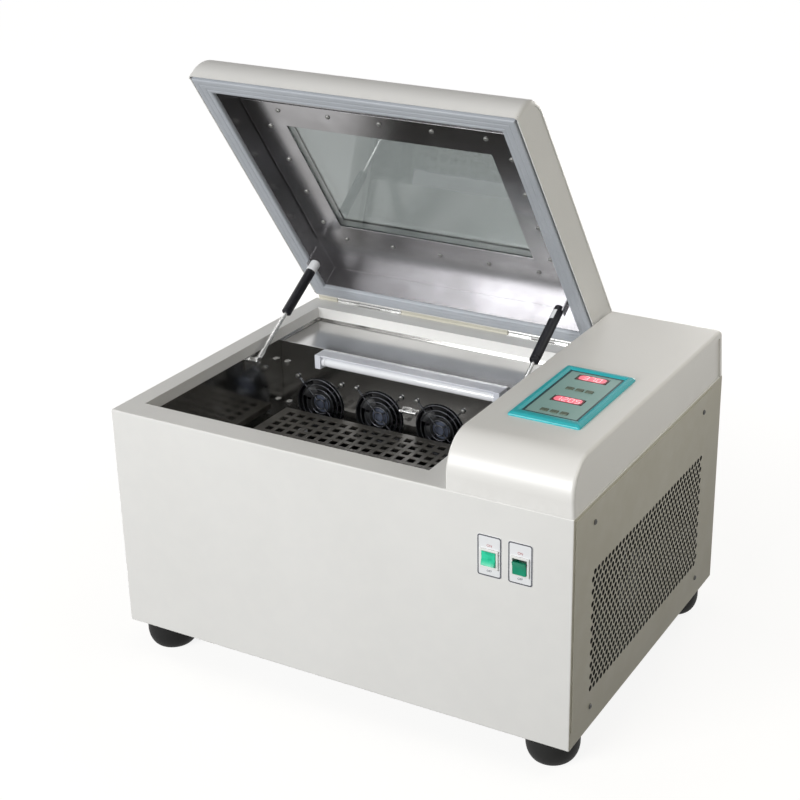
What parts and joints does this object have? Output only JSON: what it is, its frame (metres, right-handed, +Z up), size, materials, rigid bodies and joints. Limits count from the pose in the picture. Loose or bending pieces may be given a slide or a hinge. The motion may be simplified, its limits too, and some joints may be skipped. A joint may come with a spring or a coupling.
{
  "type": "incubated benchtop shaker",
  "caption": "Benchtop incubator shaker: hinged windowed lid on gas struts, perforated orbiting platform, circulation fans, strip lamp, control head with displays and keys, rocker switches.",
  "frame": {"origin": "on the floor under the middle of the overall box with the lid standing open", "axes": "+Z up, the front wall with the switches faces -Y, the control head is at +X"},
  "size_m": [0.7334, 0.582, 0.8453],
  "materials": {
    "cream_paint": "satin",
    "side_paint": "satin",
    "liner_steel": "brushed",
    "dull_steel": "satin",
    "platform_paint": "satin",
    "plated_steel": "polished",
    "cast_aluminium": "matt",
    "cast_iron": "matt",
    "black_paint": "satin",
    "foot_rubber": "matt",
    "belt_rubber": "matt",
    "gasket_foam": "matt",
    "foam": "matt",
    "black_plastic": "satin",
    "lamp_glass": "gloss",
    "lamp_metal": "bright",
    "window_glass": "clear",
    "teal_plastic": "gloss",
    "membrane": "satin",
    "display": "gloss",
    "key_plastic": "satin",
    "white_plate": "satin",
    "cream_plastic": "satin",
    "green_plastic": "gloss",
    "board": "satin"
  },
  "bodies": {
    "cabinet": {"outer_shell": "cream_paint", "chassis": "dull_steel", "feet": "foot_rubber", "rear_panel": "side_paint", "side_panel": "side_paint", "cabinet_screws": "plated_steel", "chamber_liner": "liner_steel", "chamber_insulation": "foam", "duct_panel": "liner_steel", "fan_frames": "black_plastic", "fan_guards": "black_paint", "lamp_housing": "lamp_metal", "lamp_tube": "lamp_glass", "air_heater": "dull_steel", "evaporator": "cast_aluminium", "temperature_probe": "plated_steel", "strut_base_brackets": "plated_steel", "hinge_base_leaves": "plated_steel", "bearing_housing": "cast_iron", "drive_motor": "cast_iron", "drive_belt": "belt_rubber", "compressor": "black_paint", "condenser": "cast_aluminium", "condenser_fan_housing": "black_paint", "control_board": "board", "display_modules": "display", "head_cover": "cream_paint", "control_bezel": "teal_plastic", "control_membrane": "membrane", "switch_plates": "white_plate", "switch_bodies": "cream_plastic", "power_inlet": "black_plastic"},
    "lid": {"lid_shell": "cream_paint", "lid_liner": "liner_steel", "lid_gasket": "gasket_foam", "window_panes": "window_glass", "window_frame": "liner_steel", "window_screws": "plated_steel", "hinge_lid_leaves": "plated_steel"},
    "strut_rod_pair": {"strut_rods": "plated_steel"},
    "strut_cylinder_pair": {"strut_cylinders": "black_paint"},
    "drive_rotor": {"drive_shaft": "dull_steel", "driven_pulley": "cast_aluminium"},
    "platform": {"tray_carrier": "cast_aluminium", "platform_tray": "platform_paint"},
    "left_crank": {"idler_crank_left": "dull_steel"},
    "right_crank": {"idler_crank_right": "dull_steel"},
    "motor_rotor": {"motor_pulley": "cast_aluminium"},
    "impeller_1": {"fan_impeller_1": "black_plastic"},
    "impeller_2": {"fan_impeller_2": "black_plastic"},
    "impeller_3": {"fan_impeller_3": "black_plastic"},
    "condenser_impeller": {"condenser_fan": "cast_aluminium"},
    "power_switch": {"power_rocker": "green_plastic"},
    "lamp_switch": {"lamp_rocker": "green_plastic"},
    "upper_key_1": {"key_upper_1": "key_plastic"},
    "upper_key_2": {"key_upper_2": "key_plastic"},
    "upper_key_3": {"key_upper_3": "key_plastic"},
    "lower_key_1": {"key_lower_1": "key_plastic"},
    "lower_key_2": {"key_lower_2": "key_plastic"},
    "lower_key_3": {"key_lower_3": "key_plastic"}
  },
  "joints": [
    {"name": "lid_hinge", "type": "hinge", "parent": "cabinet", "child": "lid", "pos_m": [0, 0.24524, 0.399], "axis": [1, 0, 0], "range_deg": [0, 55]},
    {"name": "strut_swing", "type": "hinge", "parent": "cabinet", "child": "strut_rod_pair", "pos_m": [0, 0.01124, 0.369], "axis": [1, 0, 0], "range_deg": [-22.71, 0]},
    {"name": "strut_stroke", "type": "slide", "parent": "strut_rod_pair", "child": "strut_cylinder_pair", "axis": [0, 0.8436, 0.537], "range_m": [-0.06684, 0]},
    {"name": "shaft_turn", "type": "hinge", "parent": "cabinet", "child": "drive_rotor", "pos_m": [-0.1017, -0.07626, 0.15], "axis": [0, 0, 1], "continuous": true},
    {"name": "platform_turn", "type": "hinge", "parent": "drive_rotor", "child": "platform", "pos_m": [-0.1017, -0.06626, 0.23], "axis": [0, 0, 1], "continuous": true},
    {"name": "left_crank_turn", "type": "hinge", "parent": "cabinet", "child": "left_crank", "pos_m": [-0.2317, -0.14626, 0.18], "axis": [0, 0, 1], "continuous": true},
    {"name": "right_crank_turn", "type": "hinge", "parent": "cabinet", "child": "right_crank", "pos_m": [0.0283, -0.14626, 0.18], "axis": [0, 0, 1], "continuous": true},
    {"name": "motor_turn", "type": "hinge", "parent": "cabinet", "child": "motor_rotor", "pos_m": [0.0083, -0.07626, 0.1], "axis": [0, 0, 1], "continuous": true},
    {"name": "impeller_1_turn", "type": "hinge", "parent": "cabinet", "child": "impeller_1", "pos_m": [-0.266, 0.11214, 0.2737], "axis": [0, 1, 0], "continuous": true},
    {"name": "impeller_2_turn", "type": "hinge", "parent": "cabinet", "child": "impeller_2", "pos_m": [-0.155, 0.11214, 0.2737], "axis": [0, 1, 0], "continuous": true},
    {"name": "impeller_3_turn", "type": "hinge", "parent": "cabinet", "child": "impeller_3", "pos_m": [-0.044, 0.11214, 0.2737], "axis": [0, 1, 0], "continuous": true},
    {"name": "condenser_impeller_turn", "type": "hinge", "parent": "cabinet", "child": "condenser_impeller", "pos_m": [0.3378, -0.02726, 0.199], "axis": [1, 0, 0], "continuous": true},
    {"name": "power_rocker_tilt", "type": "hinge", "parent": "cabinet", "child": "power_switch", "pos_m": [0.2443, -0.27926, 0.3085], "axis": [1, 0, 0], "range_deg": [0, 18]},
    {"name": "lamp_rocker_tilt", "type": "hinge", "parent": "cabinet", "child": "lamp_switch", "pos_m": [0.2892, -0.27926, 0.3085], "axis": [1, 0, 0], "range_deg": [-18, 0]},
    {"name": "upper_key_1_press", "type": "slide", "parent": "cabinet", "child": "upper_key_1", "axis": [0, 0, -1], "range_m": [0, 0.0008], "stiffness_N_per_m": 1000},
    {"name": "upper_key_2_press", "type": "slide", "parent": "cabinet", "child": "upper_key_2", "axis": [0, 0, -1], "range_m": [0, 0.0008], "stiffness_N_per_m": 1000},
    {"name": "upper_key_3_press", "type": "slide", "parent": "cabinet", "child": "upper_key_3", "axis": [0, 0, -1], "range_m": [0, 0.0008], "stiffness_N_per_m": 1000},
    {"name": "lower_key_1_press", "type": "slide", "parent": "cabinet", "child": "lower_key_1", "axis": [0, 0, -1], "range_m": [0, 0.0008], "stiffness_N_per_m": 1000},
    {"name": "lower_key_2_press", "type": "slide", "parent": "cabinet", "child": "lower_key_2", "axis": [0, 0, -1], "range_m": [0, 0.0008], "stiffness_N_per_m": 1000},
    {"name": "lower_key_3_press", "type": "slide", "parent": "cabinet", "child": "lower_key_3", "axis": [0, 0, -1], "range_m": [0, 0.0008], "stiffness_N_per_m": 1000}
  ],
  "couplings": [
    {"joint": "strut_swing", "follows": "lid_hinge", "ratio": -0.4128},
    {"joint": "strut_stroke", "follows": "lid_hinge", "m_per_rad": -0.069619},
    {"joint": "platform_turn", "follows": "shaft_turn", "ratio": -1},
    {"joint": "left_crank_turn", "follows": "shaft_turn", "ratio": 1},
    {"joint": "right_crank_turn", "follows": "shaft_turn", "ratio": 1},
    {"joint": "motor_turn", "follows": "shaft_turn", "ratio": 2.25}
  ]
}
